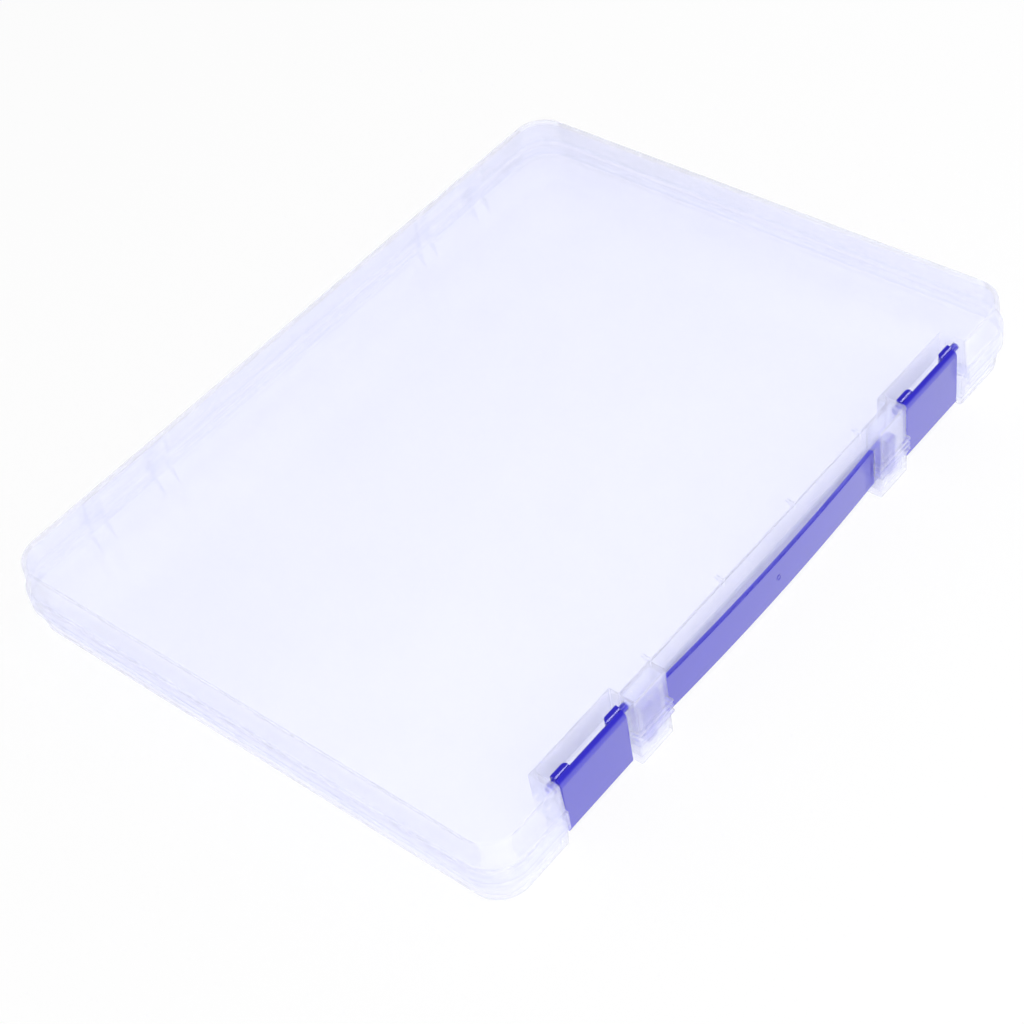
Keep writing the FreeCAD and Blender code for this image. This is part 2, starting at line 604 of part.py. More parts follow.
def make_latch(label, place):
    """Snap latch: plate with a rolled top, two ears with pins, and a nib under the catch."""
    body = new_body(label)
    body.setExpression("Placement.Base.x", place)
    ear_back = f"{LATCH_FRONT} + {formula('roll_radius + roll_land')}"
    ear_bottom = formula("pivot_height - pin_radius - ear_wall")
    nib_top = formula("catch_bottom - nib_clearance")
    nib_bottom = f"{nib_top} - {size('nib_height')}"
    nib_back = f"{LATCH_BACK} + {size('nib_reach')}"
    plate = new_sketch(body, "plate", "YZ_Plane", "0")
    draw_polygon(plate, [
        (LATCH_FRONT, size("latch_bottom")),
        (LATCH_FRONT, size("latch_top")),
        (ear_back, size("latch_top")),
        (ear_back, ear_bottom),
        (LATCH_BACK, ear_bottom),
        (LATCH_BACK, nib_top),
        (nib_back, nib_top),
        (nib_back, nib_bottom),
        (LATCH_BACK, size("latch_bottom")),
    ])
    pad(body, plate, LATCH_LENGTH, centred=True)
    soften(body, "roll", size("roll_radius"), along(LATCH_FRONT, size("latch_top")))
    soften(body, "nib_edge", size("nib_edge_radius"), along(nib_back, nib_bottom))
    soften(body, "plate_edge", size("latch_edge_radius"), along(LATCH_FRONT, size("latch_bottom")))

    roll_y = f"{LATCH_FRONT} + {size('roll_radius')}"
    roll_z = formula("latch_top - roll_radius")
    hollow = new_sketch(body, "roll_hollow", "YZ_Plane", "0")
    draw_polygon(hollow, [
        (LATCH_BACK, f"{ear_bottom} - {size('seat_overlap')}"),
        (LATCH_BACK, roll_z),
        roll_point(roll_y, roll_z, formula("( roll_radius - latch_thickness )"), formula("roll_turn / 2")),
        roll_point(roll_y, roll_z, formula("( roll_radius - latch_thickness )"), size("roll_turn")),
        roll_point(roll_y, roll_z, formula("( roll_radius + latch_thickness )"), size("roll_turn")),
        (f"{ear_back} + {size('seat_overlap')}", formula("latch_top + latch_thickness")),
        (f"{ear_back} + {size('seat_overlap')}", f"{ear_bottom} - {size('seat_overlap')}"),
    ])
    pocket(body, hollow, f"{LATCH_LENGTH} - 2 * {size('ear_length')}", centred=True)

    pin_start = f"{LATCH_LENGTH} / 2 - {size('seat_overlap')}"
    pin_end = formula("notch_length / 2 + pin_bite")
    pin = new_sketch(body, "pin", "YZ_Plane", pin_start)
    draw_circle(pin, PIVOT_Y, size("pivot_height"), size("pin_radius"))
    mirror(body, [pad(body, pin, f"{pin_end} - ( {pin_start} )")])
    return body


def make_strap():
    """Strap handle: a thin beaded band with a thickened lug at each end."""
    body = new_body("carry_strap")
    bead_top = formula("strap_bottom + bead_height")
    bead_bottom = f"{STRAP_TOP} - {size('bead_height')}"
    panel = f"{STRAP_FRONT} + {size('bead_relief')}"
    band = new_sketch(body, "band", "YZ_Plane", "0")
    draw_polygon(band, [
        (STRAP_BACK, size("strap_bottom")),
        (STRAP_BACK, STRAP_TOP),
        (STRAP_FRONT, STRAP_TOP),
        (STRAP_FRONT, bead_bottom),
        (panel, bead_bottom),
        (panel, bead_top),
        (STRAP_FRONT, bead_top),
        (STRAP_FRONT, size("strap_bottom")),
    ])
    pad(body, band, f"2 * ({STRAP_END})", centred=True)
    for name, height in (("top", STRAP_TOP), ("bottom", size("strap_bottom"))):
        soften(body, f"{name}_front_edge", size("strap_edge_radius"), along(STRAP_FRONT, height))
        soften(body, f"{name}_back_edge", size("strap_edge_radius"), along(STRAP_BACK, height))
    lug = new_sketch(body, "lug", "XY_Plane", formula("strap_bottom + strap_edge_radius"))
    draw_pair(lug, f"{STRAP_END} - {size('lug_length')}", STRAP_END,
              f"{STRAP_BACK} - {size('lug_thickness')}", STRAP_BACK)
    pad(body, lug, formula("strap_height - 2 * strap_edge_radius"))
    return body


PIECES = [
    make_tray(),
    make_lid(),
    make_latch("latch_left", minus(LATCH_PLACE)),
    make_latch("latch_right", LATCH_PLACE),
    make_strap(),
]
doc.recompute()

for thing in doc.Objects:
    if "Invalid" in thing.State or "Error" in thing.State:
        raise RuntimeError(f"{thing.Label} failed: {thing.State}")
for piece in PIECES:
    if piece.Shape.isNull() or not piece.Shape.isValid() or len(piece.Shape.Solids) != 1:
        raise RuntimeError(f"{piece.Label} is not one sound solid")

os.makedirs("parts", exist_ok=True)
for piece in PIECES:
    piece.Shape.exportStep(f"parts/{piece.Label}.step")
    box = piece.Shape.BoundBox
    print(f"{piece.Label}: {piece.Shape.Volume / 1000:.2f} cm3, "
          f"{box.XLength:.1f} x {box.YLength:.1f} x {box.ZLength:.1f} mm")
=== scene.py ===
"""Looks of a flat translucent carrying case for A4 paper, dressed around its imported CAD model."""

import logging
import math
from collections.abc import Callable, Iterator
from contextlib import contextmanager
from dataclasses import dataclass
from enum import Enum

import bmesh
import bpy
from mathutils import Matrix, Vector


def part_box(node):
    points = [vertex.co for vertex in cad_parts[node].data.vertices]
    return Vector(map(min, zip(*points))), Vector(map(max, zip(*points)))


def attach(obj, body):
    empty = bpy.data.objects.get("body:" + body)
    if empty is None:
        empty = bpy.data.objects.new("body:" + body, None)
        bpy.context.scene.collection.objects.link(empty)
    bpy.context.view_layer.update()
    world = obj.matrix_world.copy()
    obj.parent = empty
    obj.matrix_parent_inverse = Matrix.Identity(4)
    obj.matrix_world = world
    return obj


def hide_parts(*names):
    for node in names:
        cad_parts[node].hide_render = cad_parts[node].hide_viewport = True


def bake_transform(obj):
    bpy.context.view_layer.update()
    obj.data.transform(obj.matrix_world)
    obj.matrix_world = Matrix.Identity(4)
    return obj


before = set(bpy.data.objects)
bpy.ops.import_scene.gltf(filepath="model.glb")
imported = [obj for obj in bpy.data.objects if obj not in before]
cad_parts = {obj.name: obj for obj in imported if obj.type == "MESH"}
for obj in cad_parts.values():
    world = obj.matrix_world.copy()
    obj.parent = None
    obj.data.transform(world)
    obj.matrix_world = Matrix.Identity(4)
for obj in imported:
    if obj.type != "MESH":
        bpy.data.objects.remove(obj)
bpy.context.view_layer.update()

MM = 0.001
SHARP_ANGLE = math.radians(40.0)
SOFT_ANGLE = math.radians(20.0)
FLAT_AREA = 1e-4
SHORT_EDGE = 1.5 * MM
FACING = 0.9
EDGE_MARK = "rounded_edge"
log = logging.getLogger("carrying_case")


class Side(Enum):
    """The two ends of the case, seen from its front."""

    LEFT = -1
    RIGHT = 1

    @property
    def word(self) -> str:
        """Name of the side in lower case."""
        return self.name.lower()


class Slot(Enum):
    """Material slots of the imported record."""

    CLEAR = "clear_plastic"
    BLUE = "blue_plastic"


def select_only(piece: bpy.types.Object) -> None:
    """Makes one piece the only selected object and the active one.

    Args:
        piece: The object that the next operators act on.
    """
    bpy.ops.object.select_all(action="DESELECT")
    piece.select_set(True)
    bpy.context.view_layer.objects.active = piece


@contextmanager
def editing(piece: bpy.types.Object) -> Iterator[None]:
    """Keeps one piece in edit mode for the length of a with block.

    Args:
        piece: The mesh object to edit.
    """
    select_only(piece)
    bpy.ops.object.mode_set(mode="EDIT")
    yield
    bpy.ops.object.mode_set(mode="OBJECT")


def pick_faces(piece: bpy.types.Object, wanted: Callable[[bmesh.types.BMFace], bool]) -> None:
    """Selects the faces of a piece in edit mode that pass a test.

    Args:
        piece: The mesh object in edit mode.
        wanted: Test of one face, such as of its place or normal.
    """
    bpy.ops.mesh.select_mode(type="FACE")
    bpy.ops.mesh.select_all(action="DESELECT")
    mesh = bmesh.from_edit_mesh(piece.data)
    for face in mesh.faces:
        face.select_set(wanted(face))
    mesh.select_flush_mode()
    bmesh.update_edit_mesh(piece.data)


def pick_edges(piece: bpy.types.Object, wanted: Callable[[bmesh.types.BMEdge], bool]) -> None:
    """Selects the edges of a piece in edit mode that pass a test.

    Args:
        piece: The mesh object in edit mode.
        wanted: Test of one edge, such as of its angle or length.
    """
    bpy.ops.mesh.select_mode(type="EDGE")
    bpy.ops.mesh.select_all(action="DESELECT")
    mesh = bmesh.from_edit_mesh(piece.data)
    for edge in mesh.edges:
        edge.select_set(wanted(edge))
    mesh.select_flush_mode()
    bmesh.update_edit_mesh(piece.data)


def cut_across(place: Vector, normal: Vector, **options: bool) -> None:
    """Cuts the whole mesh in edit mode with a plane.

    Args:
        place: A point of the plane.
        normal: The plane's normal.
        **options: Which side is cleared and whether the cut is filled.
    """
    bpy.ops.mesh.select_all(action="SELECT")
    bpy.ops.mesh.bisect(plane_co=place, plane_no=normal, **options)


def use_modifier(piece: bpy.types.Object, kind: str, **settings: object) -> None:
    """Adds a modifier to a piece and applies it.

    Args:
        piece: The mesh object.
        kind: The modifier's type.
        **settings: Values of the modifier's properties.
    """
    select_only(piece)
    modifier = piece.modifiers.new(kind.lower(), kind)
    for name, value in settings.items():
        setattr(modifier, name, value)
    bpy.ops.object.modifier_apply(modifier=modifier.name)


def round_edges(piece: bpy.types.Object, radius: float, segments: int = 2) -> None:
    """Rounds a piece's sharp edges as a mould does, except short ones in inner corners.

    Args:
        piece: The mesh object.
        radius: Radius of the rounding in metres.
        segments: Steps of the rounding.
    """
    with editing(piece):
        pick_edges(piece, lambda edge: (
            edge.calc_face_angle(0.0) > SHARP_ANGLE
            and (edge.is_convex or edge.calc_length() > SHORT_EDGE)
        ))
        bpy.ops.transform.edge_bevelweight(value=1.0)
    use_modifier(
        piece, "BEVEL", width=radius, segments=segments, limit_method="WEIGHT", material=1,
        use_clamp_overlap=False, loop_slide=True, miter_outer="MITER_ARC",
    )
    mark = piece.data.attributes.new(EDGE_MARK, "FLOAT", "FACE")
    for face in piece.data.polygons:
        mark.data[face.index].value = float(face.material_index)
        face.material_index = 0


def smooth_faces(piece: bpy.types.Object) -> None:
    """Shades a piece smooth, with its large flat faces kept truly flat.

    Args:
        piece: The mesh object.
    """
    select_only(piece)
    bpy.ops.object.shade_smooth_by_angle(angle=SHARP_ANGLE)
    with editing(piece):
        pick_edges(piece, lambda edge: (
            edge.calc_face_angle(0.0) > SOFT_ANGLE
            and any(face.calc_area() > FLAT_AREA for face in edge.link_faces)
        ))
        bpy.ops.mesh.mark_sharp()
    use_modifier(piece, "WEIGHTED_NORMAL", keep_sharp=True, mode="FACE_AREA")


class MouldedGrain:
    """Shader node group for the fine unevenness of a moulded plastic surface."""

    name = "moulded_grain"
    grain_detail = 3.0
    flow_detail = 2.0
    flow_distortion = 0.6
    mean_sum = 1.0

    def tree(self) -> bpy.types.NodeTree:
        """The group, made on its first use.

        Returns:
            The node group with a height, a roughness and a mottle output.
        """
        made = bpy.data.node_groups.get(self.name)
        return made if made else self._make()

    def _make(self) -> bpy.types.NodeTree:
        """Builds the group's sockets and nodes.

        Returns:
            The new node group.
        """
        tree = bpy.data.node_groups.new(self.name, "ShaderNodeTree")
        for name in ("Grain scale", "Flow scale", "Roughness", "Roughness spread"):
            tree.interface.new_socket(name, in_out="INPUT", socket_type="NodeSocketFloat")
        for name in ("Height", "Roughness", "Mottle"):
            tree.interface.new_socket(name, in_out="OUTPUT", socket_type="NodeSocketFloat")
        nodes, links = tree.nodes, tree.links
        into = nodes.new("NodeGroupInput")
        out = nodes.new("NodeGroupOutput")
        place = nodes.new("ShaderNodeTexCoord")
        grain = nodes.new("ShaderNodeTexNoise")
        grain.inputs["Detail"].default_value = self.grain_detail
        flow = nodes.new("ShaderNodeTexNoise")
        flow.inputs["Detail"].default_value = self.flow_detail
        flow.inputs["Distortion"].default_value = self.flow_distortion
        for texture, scale in ((grain, "Grain scale"), (flow, "Flow scale")):
            links.new(place.outputs["Object"], texture.inputs["Vector"])
            links.new(into.outputs[scale], texture.inputs["Scale"])
        uneven = nodes.new("ShaderNodeMath")
        uneven.operation = "ADD"
        links.new(grain.outputs["Fac"], uneven.inputs[0])
        links.new(flow.outputs["Fac"], uneven.inputs[1])
        centred = nodes.new("ShaderNodeMath")
        centred.operation = "SUBTRACT"
        centred.inputs[1].default_value = self.mean_sum
        links.new(uneven.outputs["Value"], centred.inputs[0])
        rough = nodes.new("ShaderNodeMath")
        rough.operation = "MULTIPLY_ADD"
        links.new(centred.outputs["Value"], rough.inputs[0])
        links.new(into.outputs["Roughness spread"], rough.inputs[1])
        links.new(into.outputs["Roughness"], rough.inputs[2])
        links.new(grain.outputs["Fac"], out.inputs["Height"])
        links.new(rough.outputs["Value"], out.inputs["Roughness"])
        links.new(flow.outputs["Fac"], out.inputs["Mottle"])
        return tree


@dataclass(frozen=True)
class PlasticFinish:
    """A moulded plastic with a fine grain and a slow drift of its tint."""

    name: str
    pale_tint: tuple[float, float, float]
    deep_tint: tuple[float, float, float]
    transmission: float
    roughness: float
    roughness_spread: float
    refraction: float
    coat: float
    cover: float
    edge_cover: float
    grain_scale: float
    flow_scale: float
    grain_depth: float
    shade_cover: float = 1.0

    def material(self) -> bpy.types.Material:
        """The finish as a material, made on its first use.

        Returns:
            The node material.
        """
        made = bpy.data.materials.get(self.name)
        return made if made else self._make()

    def _make(self) -> bpy.types.Material:
        """Builds the material's nodes.

        Returns:
            The new material.
        """
        material = bpy.data.materials.new(self.name)
        material.use_nodes = True
        nodes, links = material.node_tree.nodes, material.node_tree.links
        shader = nodes["Principled BSDF"]
        shader.inputs["Transmission Weight"].default_value = self.transmission
        shader.inputs["IOR"].default_value = self.refraction
        shader.inputs["Coat Weight"].default_value = self.coat
        surface = nodes.new("ShaderNodeGroup")
        surface.node_tree = MouldedGrain().tree()
        surface.inputs["Grain scale"].default_value = self.grain_scale
        surface.inputs["Flow scale"].default_value = self.flow_scale
        surface.inputs["Roughness"].default_value = self.roughness
        surface.inputs["Roughness spread"].default_value = self.roughness_spread
        tint = nodes.new("ShaderNodeMix")
        tint.data_type = "RGBA"
        tint.inputs["A"].default_value = (*self.pale_tint, 1.0)
        tint.inputs["B"].default_value = (*self.deep_tint, 1.0)
        links.new(surface.outputs["Mottle"], tint.inputs["Factor"])
        links.new(tint.outputs["Result"], shader.inputs["Base Color"])
        links.new(surface.outputs["Roughness"], shader.inputs["Roughness"])
        self._cover(nodes, links, shader)
        bump = nodes.new("ShaderNodeBump")
        bump.inputs["Strength"].default_value = 1.0
        bump.inputs["Distance"].default_value = self.grain_depth
        links.new(surface.outputs["Height"], bump.inputs["Height"])
        links.new(bump.outputs["Normal"], shader.inputs["Normal"])
        return material

    def _cover(
        self, nodes: bpy.types.Nodes, links: bpy.types.NodeLinks, shader: bpy.types.Node
    ) -> None:
        """Sets how much the plastic hides, more on rounded edges and less from the light.

        Args:
            nodes: Nodes of the material.
            links: Links of the material.
            shader: The material's Principled BSDF.
        """
        shader.inputs["Alpha"].default_value = self.cover
        if self.edge_cover == self.cover:
            return
        edge = nodes.new("ShaderNodeAttribute")
        edge.attribute_name = EDGE_MARK
        cover = nodes.new("ShaderNodeMapRange")
        cover.inputs["To Min"].default_value = self.cover
        cover.inputs["To Max"].default_value = self.edge_cover
        links.new(edge.outputs["Fac"], cover.inputs["Value"])
        light = nodes.new("ShaderNodeLightPath")
        shade = nodes.new("ShaderNodeMix")
        shade.inputs["B"].default_value = self.shade_cover
        links.new(light.outputs["Is Shadow Ray"], shade.inputs["Factor"])
        links.new(cover.outputs["Result"], shade.inputs["A"])
        links.new(shade.outputs["Result"], shader.inputs["Alpha"])


CLEAR_PLASTIC = PlasticFinish(
    name="frosted_clear_plastic",
    pale_tint=(0.872, 0.88, 1.0),
    deep_tint=(0.835, 0.848, 1.0),
    transmission=0.68,
    roughness=0.24,
    roughness_spread=0.08,
    refraction=1.22,
    coat=0.0,
    cover=0.48,
    edge_cover=1.0,
    grain_scale=2600.0,
    flow_scale=14.0,
    grain_depth=0.00001,
    shade_cover=0.15,
)
BLUE_PLASTIC = PlasticFinish(
    name="glossy_blue_plastic",
    pale_tint=(0.028, 0.02, 0.52),
    deep_tint=(0.02, 0.014, 0.46),
    transmission=0.0,
    roughness=0.13,
    roughness_spread=0.06,
    refraction=1.7,
    coat=1.0,
    cover=1.0,
    edge_cover=1.0,
    grain_scale=1800.0,
    flow_scale=40.0,
    grain_depth=0.00001,
)


class CornerWork(Enum):
    """What a quarter round does to an upright corner."""

    FILL = "UNION"
    TRIM = "DIFFERENCE"


@dataclass(frozen=True)
class CornerRound:
    """A quarter round that fills an upright inner corner or trims an upright outer one."""

    corner: tuple[float, float]
    inward: tuple[int, int]
    radius: float
    heights: tuple[float, float]
    work: CornerWork
    overlap: float = 0.8 * MM
    steps: int = 48

    def cut_into(self, piece: bpy.types.Object) -> None:
        """Rounds the corner of a piece.

        Args:
            piece: The mesh object that has the corner.
        """
        wedge = self._model_wedge()
        use_modifier(piece, "BOOLEAN", object=wedge, operation=self.work.value, solver="EXACT")
        bpy.data.objects.remove(wedge)

    def _model_wedge(self) -> bpy.types.Object:
        """Models the wedge between the corner and its round.

        Returns:
            The wedge as a mesh object.
        """
        low, high = self.heights
        middle, size, centre = [], [], []
        for place, sign in zip(self.corner, self.inward):
            ends = (place - sign * self.overlap, place + sign * self.radius)
            middle.append(sum(ends) / 2)
            size.append(abs(ends[1] - ends[0]))
            centre.append(ends[1])
        bpy.ops.object.select_all(action="DESELECT")
        bpy.ops.mesh.primitive_cube_add(size=1.0, location=(*middle, (low + high) / 2))
        wedge = bpy.context.active_object
        wedge.scale = (*size, high - low)
        bpy.ops.object.transform_apply(location=True, rotation=True, scale=True)
        bpy.ops.object.select_all(action="DESELECT")
        bpy.ops.mesh.primitive_cylinder_add(
            vertices=self.steps, radius=self.radius, depth=2 * (high - low),
            location=(*centre, (low + high) / 2),
        )
        rod = bpy.context.active_object
        use_modifier(wedge, "BOOLEAN", object=rod, operation="DIFFERENCE", solver="EXACT")
        bpy.data.objects.remove(rod)
        return wedge


@dataclass
class Moulding:
    """A rigid moulding that keeps its CAD form and gets the soft edges of a mould."""

    name: str
    node: str
    body: str
    slot: Slot
    finish: PlasticFinish
    edge_radius: float = 0.25 * MM
    corners: tuple[CornerRound, ...] = ()
    merge_distance: float = 0.002 * MM
    flat_within: float = 0.2

    def build(self) -> bpy.types.Object:
        """Models the piece from a merged copy of its CAD mesh.

        Returns:
            The finished mesh object, in its place.
        """
        piece = bpy.data.objects.new(self.name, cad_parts[self.node].data.copy())
        piece.data.name = self.name
        bpy.context.scene.collection.objects.link(piece)
        with editing(piece):
            bpy.ops.mesh.select_all(action="SELECT")
            bpy.ops.mesh.remove_doubles(threshold=self.merge_distance)
        for corner in self.corners:
            corner.cut_into(piece)
        with editing(piece):
            bpy.ops.mesh.select_all(action="SELECT")
            bpy.ops.mesh.remove_doubles(threshold=self.merge_distance)
            bpy.ops.mesh.dissolve_limited(angle_limit=math.radians(self.flat_within))
        round_edges(piece, self.edge_radius)
        smooth_faces(piece)
        return piece

    def dress(self, piece: bpy.types.Object) -> None:
        """Gives the piece its finish and ties it to its body.

        Args:
            piece: The finished mesh object.
        """
        piece.data.materials.clear()
        piece.data.materials.append(self.finish.material())
        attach(piece, self.body)
        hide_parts(self.node)


@dataclass
class Shells:
    """Lid and tray of the case."""

    lid_edge: float = 0.25 * MM
    tray_edge: float = 0.25 * MM
    notch_ends: tuple[float, float] = (82.5 * MM, 122.5 * MM)
    notch_back: float = -106.5 * MM
    notch_round: float = 2.0 * MM
    notch_heights: tuple[float, float] = (20.5 * MM, 33.5 * MM)

    def _notch_corners(self) -> tuple[CornerRound, ...]:
        """The rounds at the back corners of both latch notches.

        Returns:
            Four rounds that fill the corners.
        """
        return tuple(
            CornerRound(
                (side.value * end, self.notch_back), (side.value * inward, -1), self.notch_round,
                self.notch_heights, CornerWork.FILL,
            )
            for side in Side
            for end, inward in zip(self.notch_ends, (1, -1))
        )

    def build(self) -> list[bpy.types.Object]:
        """Makes both shells and dresses them.

        Returns:
            The lid and the tray.
        """
        mouldings = (
            Moulding(
                "lid_moulding", "lid_shell", "lid", Slot.CLEAR, CLEAR_PLASTIC, self.lid_edge,
                self._notch_corners(),
            ),
            Moulding(
                "tray_moulding", "base_tray", "tray", Slot.CLEAR, CLEAR_PLASTIC, self.tray_edge
            ),
        )
        pieces = []
        for moulding in mouldings:
            piece = moulding.build()
            moulding.dress(piece)
            pieces.append(piece)
        return pieces


@dataclass
class Latch:
    """One of the two snap latches."""

    side: Side
    edge: float = 0.3 * MM
    middle: float = 102.5 * MM
    ear_start: float = 10.0 * MM
    ear_back: float = -110.6 * MM
    ear_round: float = 1.8 * MM
    ear_heights: tuple[float, float] = (24.0 * MM, 33.0 * MM)

    def _ear_corners(self) -> tuple[CornerRound, ...]:
        """The rounds at the inner corners of both ears.

        Returns:
            Two rounds that trim the corners.
        """
        return tuple(
            CornerRound(
                (self.side.value * self.middle + sign * self.ear_start, self.ear_back), (sign, -1),
                self.ear_round, self.ear_heights, CornerWork.TRIM,
            )
            for sign in (-1, 1)
        )

    def build(self) -> list[bpy.types.Object]:
        """Makes the latch and dresses it.

        Returns:
            The latch alone.
        """
        word = self.side.word
        moulding = Moulding(
            f"{word}_latch_moulding", f"latch_{word}", f"{word}_latch", Slot.BLUE, BLUE_PLASTIC,
            self.edge, self._ear_corners(),
        )
        piece = moulding.build()
        moulding.dress(piece)
        return [piece]


@dataclass
class StrapHandle:
    """Flexible strap handle whose ends stay in the bosses while its middle bows outward."""

    node: str = "carry_strap"
    bend_start: float = 66.0 * MM
    bend_end: float = 12.0 * MM
    bend_cuts: int = 60
    lug_length: float = 5.0 * MM
    band_setback: float = 2.0 * MM
    band_thickness: float = 1.8 * MM
    rest_bow: float = 1.7 * MM
    middle_reach: float = 0.05 * MM
    edge: float = 0.4 * MM
    edge_steps: int = 3
    ring_place: tuple[float, float] = (2.0 * MM, 14.2 * MM)
    ring_radius: float = 1.1 * MM
    ring_relief: float = 0.16 * MM
    ring_steps: tuple[int, int] = (40, 12)
    merge_distance: float = 0.005 * MM

    def build(self) -> list[bpy.types.Object]:
        """Makes the strap as two halves that meet in the middle.

        Returns:
            The left and the right half.
        """
        strap = self._model_band()
        halves = [self._take_half(strap, side) for side in Side]
        bpy.data.objects.remove(strap)
        return halves

    def _model_band(self) -> bpy.types.Object:
        """Models the whole strap.

        Returns:
            The strap as one mesh object, which is cut into halves next.
        """
        low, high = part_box(self.node)
        band_front = low.y + self.band_setback
        size = Vector((high.x - low.x, self.band_thickness, high.z - low.z))
        middle = Vector((0.0, band_front + self.band_thickness / 2, (low.z + high.z) / 2))
        bpy.ops.object.select_all(action="DESELECT")
        bpy.ops.mesh.primitive_cube_add(size=1.0, location=middle)
        strap = bpy.context.active_object
        strap.name = "strap_whole"
        strap.scale = size
        bpy.ops.object.transform_apply(location=True, rotation=True, scale=True)
        with editing(strap):
            step = (high.x - low.x) / self.bend_cuts
            for cut in range(1, self.bend_cuts):
                cut_across(Vector((low.x + cut * step, 0, 0)), Vector((1, 0, 0)))
            for sign in (-1, 1):
                cut_across(Vector((sign * (high.x - self.lug_length), 0, 0)), Vector((1, 0, 0)))
            pick_faces(strap, lambda face: (
                face.normal.y < -FACING
                and abs(face.calc_center_median().x) > high.x - self.lug_length
            ))
            bpy.ops.mesh.extrude_region_move(
                TRANSFORM_OT_translate={"value": (0, low.y - band_front, 0)}
            )
        round_edges(strap, self.edge, self.edge_steps)
        self._raise_ring(strap, band_front)
        self._bow(strap)
        return strap

    def _bow(self, strap: bpy.types.Object) -> None:
        """Bows the middle of the strap a little outward, as it hangs at rest.

        Args:
            strap: The whole strap.
        """
        with editing(strap):
            pick_edges(strap, lambda edge: (
                all(abs(end.co.x) < self.middle_reach for end in edge.verts)
            ))
            bpy.ops.transform.translate(
                value=(0.0, -self.rest_bow, 0.0), use_proportional_edit=True,
                proportional_edit_falloff="INVERSE_SQUARE", proportional_size=self.bend_start,
            )

    def _raise_ring(self, strap: bpy.types.Object, front: float) -> None:
        """Raises the ring that the moulding gate leaves on the front.

        Args:
            strap: The whole strap.
            front: Place of the band's front face.
        """
        across, up = self.ring_place
        around, section = self.ring_steps
        bpy.ops.object.select_all(action="DESELECT")
        bpy.ops.mesh.primitive_torus_add(
            major_radius=self.ring_radius, minor_radius=self.ring_relief, major_segments=around,
            minor_segments=section, location=(across, front, up),
            rotation=(math.radians(90.0), 0.0, 0.0),
        )
        ring = bpy.context.active_object
        bpy.ops.object.transform_apply(location=True, rotation=True, scale=True)
        use_modifier(strap, "BOOLEAN", object=ring, operation="UNION", solver="EXACT")
        bpy.data.objects.remove(ring)
        with editing(strap):
            bpy.ops.mesh.select_all(action="SELECT")
            bpy.ops.mesh.remove_doubles(threshold=self.merge_distance)
            bpy.ops.mesh.dissolve_degenerate(threshold=self.merge_distance)

    def _take_half(self, strap: bpy.types.Object, side: Side) -> bpy.types.Object:
        """Copies the strap, keeps one half of the copy and dresses it.

        Args:
            strap: The whole strap.
            side: The half to keep.

        Returns:
            The half as a mesh object of its own.
        """
        half = bpy.data.objects.new(f"strap_{side.word}_half", strap.data.copy())
        half.data.name = half.name
        bpy.context.scene.collection.objects.link(half)
        with editing(half):
            cut_across(
                Vector((0, 0, 0)), Vector((side.value, 0, 0)), use_fill=True, clear_inner=True
            )
        smooth_faces(half)
        half.data.materials.append(BLUE_PLASTIC.material())
        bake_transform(half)
        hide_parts(self.node)
        return half


@dataclass(frozen=True)
class PhotoView:
    """Camera that looks at the lid as the photograph does."""

    azimuth: float = -42.836
    elevation: float = 45.414
    roll: float = 10.986
    focal_pixels: float = 2196.354
    image_pixels: float = 1024.0
    sensor: float = 36.0
    offset: tuple[float, float, float] = (2.198 * MM, -32.958 * MM, 819.261 * MM)
    target: tuple[float, float, float] = (0.0, 0.0, 33.5 * MM)

    def build(self) -> bpy.types.Object:
        """Makes the camera and sets it as the scene's camera.

        Returns:
            The camera.
        """
        turn, rise, roll = (math.radians(a) for a in (self.azimuth, self.elevation, self.roll))
        back = Vector((
            math.sin(turn) * math.cos(rise), -math.cos(turn) * math.cos(rise), math.sin(rise)
        ))
        level = (-back).cross(Vector((0, 0, 1))).normalized()
        drop = (-back).cross(level)
        right = level * math.cos(roll) + drop * math.sin(roll)
        down = drop * math.cos(roll) - level * math.sin(roll)
        across, along, away = self.offset
        place = Vector(self.target) - (right * across + down * along - back * away)
        data = bpy.data.cameras.new("photo_view")
        data.sensor_width = self.sensor
        data.lens = self.sensor * self.focal_pixels / self.image_pixels
        camera = bpy.data.objects.new("photo_view", data)
        bpy.context.scene.collection.objects.link(camera)
        turned = Matrix((right, -down, back)).transposed().to_4x4()
        camera.matrix_world = Matrix.Translation(place) @ turned
        bpy.context.scene.camera = camera
        return camera


@dataclass(frozen=True)
class Lamp:
    """A soft lamp that hangs aimed at the middle of the case."""

    name: str
    place: tuple[float, float, float]
    size: tuple[float, float]
    power: float
    shows_in_gloss: bool

    def build(self) -> None:
        """Hangs the lamp."""
        data = bpy.data.lights.new(self.name, "AREA")
        data.shape = "RECTANGLE"
        data.size, data.size_y = self.size
        data.energy = self.power
        lamp = bpy.data.objects.new(self.name, data)
        lamp.location = self.place
        lamp.visible_glossy = self.shows_in_gloss
        away = Vector(self.place).normalized()
        along = (Vector((1.0, 0.0, 0.0)) - away * away.x).normalized()
        lamp.rotation_euler = Matrix((along, away.cross(along), away)).transposed().to_euler()
        bpy.context.scene.collection.objects.link(lamp)


